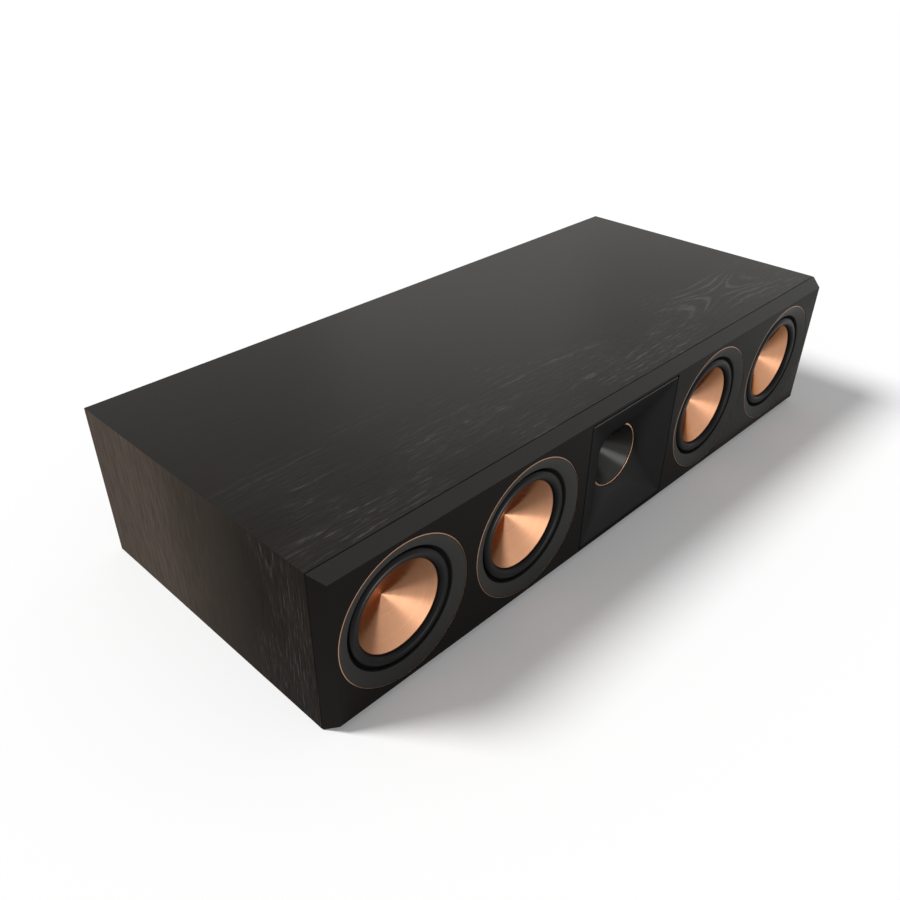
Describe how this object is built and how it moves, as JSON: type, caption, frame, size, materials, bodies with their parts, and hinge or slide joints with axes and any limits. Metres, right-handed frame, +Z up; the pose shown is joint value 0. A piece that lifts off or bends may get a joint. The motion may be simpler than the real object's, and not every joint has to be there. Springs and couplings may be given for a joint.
{
  "type": "center channel speaker",
  "caption": "Wide low wood-veneered loudspeaker with copper-coloured cones either side of a square horn, for the middle of a home cinema front.",
  "frame": {"origin": "middle of the footprint on the surface that the cabinet stands on", "axes": "+X along the width, to the right seen from the front; front faces -Y; +Z up"},
  "size_m": [0.83, 0.362, 0.176],
  "materials": {
    "veneer": "open-pore black-brown veneer",
    "back_board": "black textured paint",
    "board": "bare fibreboard",
    "wadding": "soft fibre",
    "baffle_paint": "satin near-black paint",
    "copper_trim": "satin copper colour",
    "trim": "satin dark grey moulding",
    "surround_rubber": "matte black rubber",
    "spider_cloth": "resin-dipped cloth",
    "cast_frame": "black powder coat",
    "steel": "zinc-plated steel",
    "ferrite": "ground ferrite",
    "cone_metal": "spun copper-coloured metal",
    "copper_wire": "enamelled copper wire",
    "horn": "soft black moulding",
    "dome_metal": "grey metal foil",
    "moulding": "black moulding",
    "post_metal": "gold-coloured plating",
    "red_cap": "red plastic",
    "black_cap": "black plastic",
    "circuit_board": "green board",
    "capacitor": "plastic film can",
    "resistor": "white ceramic"
  },
  "bodies": {
    "cabinet": {"cabinet_top": "veneer", "cabinet_bottom": "veneer", "cabinet_left_end": "veneer", "cabinet_right_end": "veneer", "cabinet_back": "back_board", "brace_left": "board", "brace_right": "board", "damping_pad": "wadding", "front_baffle": "baffle_paint", "woofer_accent_rings": "copper_trim", "woofer_trim_rings": "trim", "woofer_surrounds": "surround_rubber", "woofer_spiders": "spider_cloth", "woofer_frames": "cast_frame", "woofer_top_plates": "steel", "woofer_magnets": "ferrite", "woofer_yokes": "steel", "horn": "horn", "horn_accent_ring": "copper_trim", "tweeter_dome": "dome_metal", "tweeter_faceplate": "trim", "tweeter_magnet": "ferrite", "rear_ports": "moulding", "terminal_cup": "moulding", "red_post": "post_metal", "black_post": "post_metal", "crossover_board": "circuit_board", "crossover_spacers": "board", "crossover_inductors": "copper_wire", "crossover_capacitors": "capacitor", "crossover_resistor": "resistor"},
    "woofer_1": {"woofer_1_cone": "cone_metal", "woofer_1_voice_coil": "copper_wire"},
    "woofer_2": {"woofer_2_cone": "cone_metal", "woofer_2_voice_coil": "copper_wire"},
    "woofer_3": {"woofer_3_cone": "cone_metal", "woofer_3_voice_coil": "copper_wire"},
    "woofer_4": {"woofer_4_cone": "cone_metal", "woofer_4_voice_coil": "copper_wire"},
    "red_cap": {"red_post_cap": "red_cap"},
    "black_cap": {"black_post_cap": "black_cap"}
  },
  "joints": [
    {"name": "woofer_1_stroke", "type": "slide", "parent": "cabinet", "child": "woofer_1", "axis": [0, -1, 0], "range_m": [-0.005, 0.005], "stiffness_N_per_m": 1000, "deforming": ["woofer_surrounds", "woofer_spiders"]},
    {"name": "woofer_2_stroke", "type": "slide", "parent": "cabinet", "child": "woofer_2", "axis": [0, -1, 0], "range_m": [-0.005, 0.005], "stiffness_N_per_m": 1000, "deforming": ["woofer_surrounds", "woofer_spiders"]},
    {"name": "woofer_3_stroke", "type": "slide", "parent": "cabinet", "child": "woofer_3", "axis": [0, -1, 0], "range_m": [-0.005, 0.005], "stiffness_N_per_m": 1000, "deforming": ["woofer_surrounds", "woofer_spiders"]},
    {"name": "woofer_4_stroke", "type": "slide", "parent": "cabinet", "child": "woofer_4", "axis": [0, -1, 0], "range_m": [-0.005, 0.005], "stiffness_N_per_m": 1000, "deforming": ["woofer_surrounds", "woofer_spiders"]},
    {"name": "red_cap_turn", "type": "hinge", "parent": "cabinet", "child": "red_cap", "pos_m": [-0.0095, 0.168, 0.088], "axis": [0, 1, 0], "continuous": true},
    {"name": "black_cap_turn", "type": "hinge", "parent": "cabinet", "child": "black_cap", "pos_m": [0.0095, 0.168, 0.088], "axis": [0, 1, 0], "continuous": true}
  ]
}
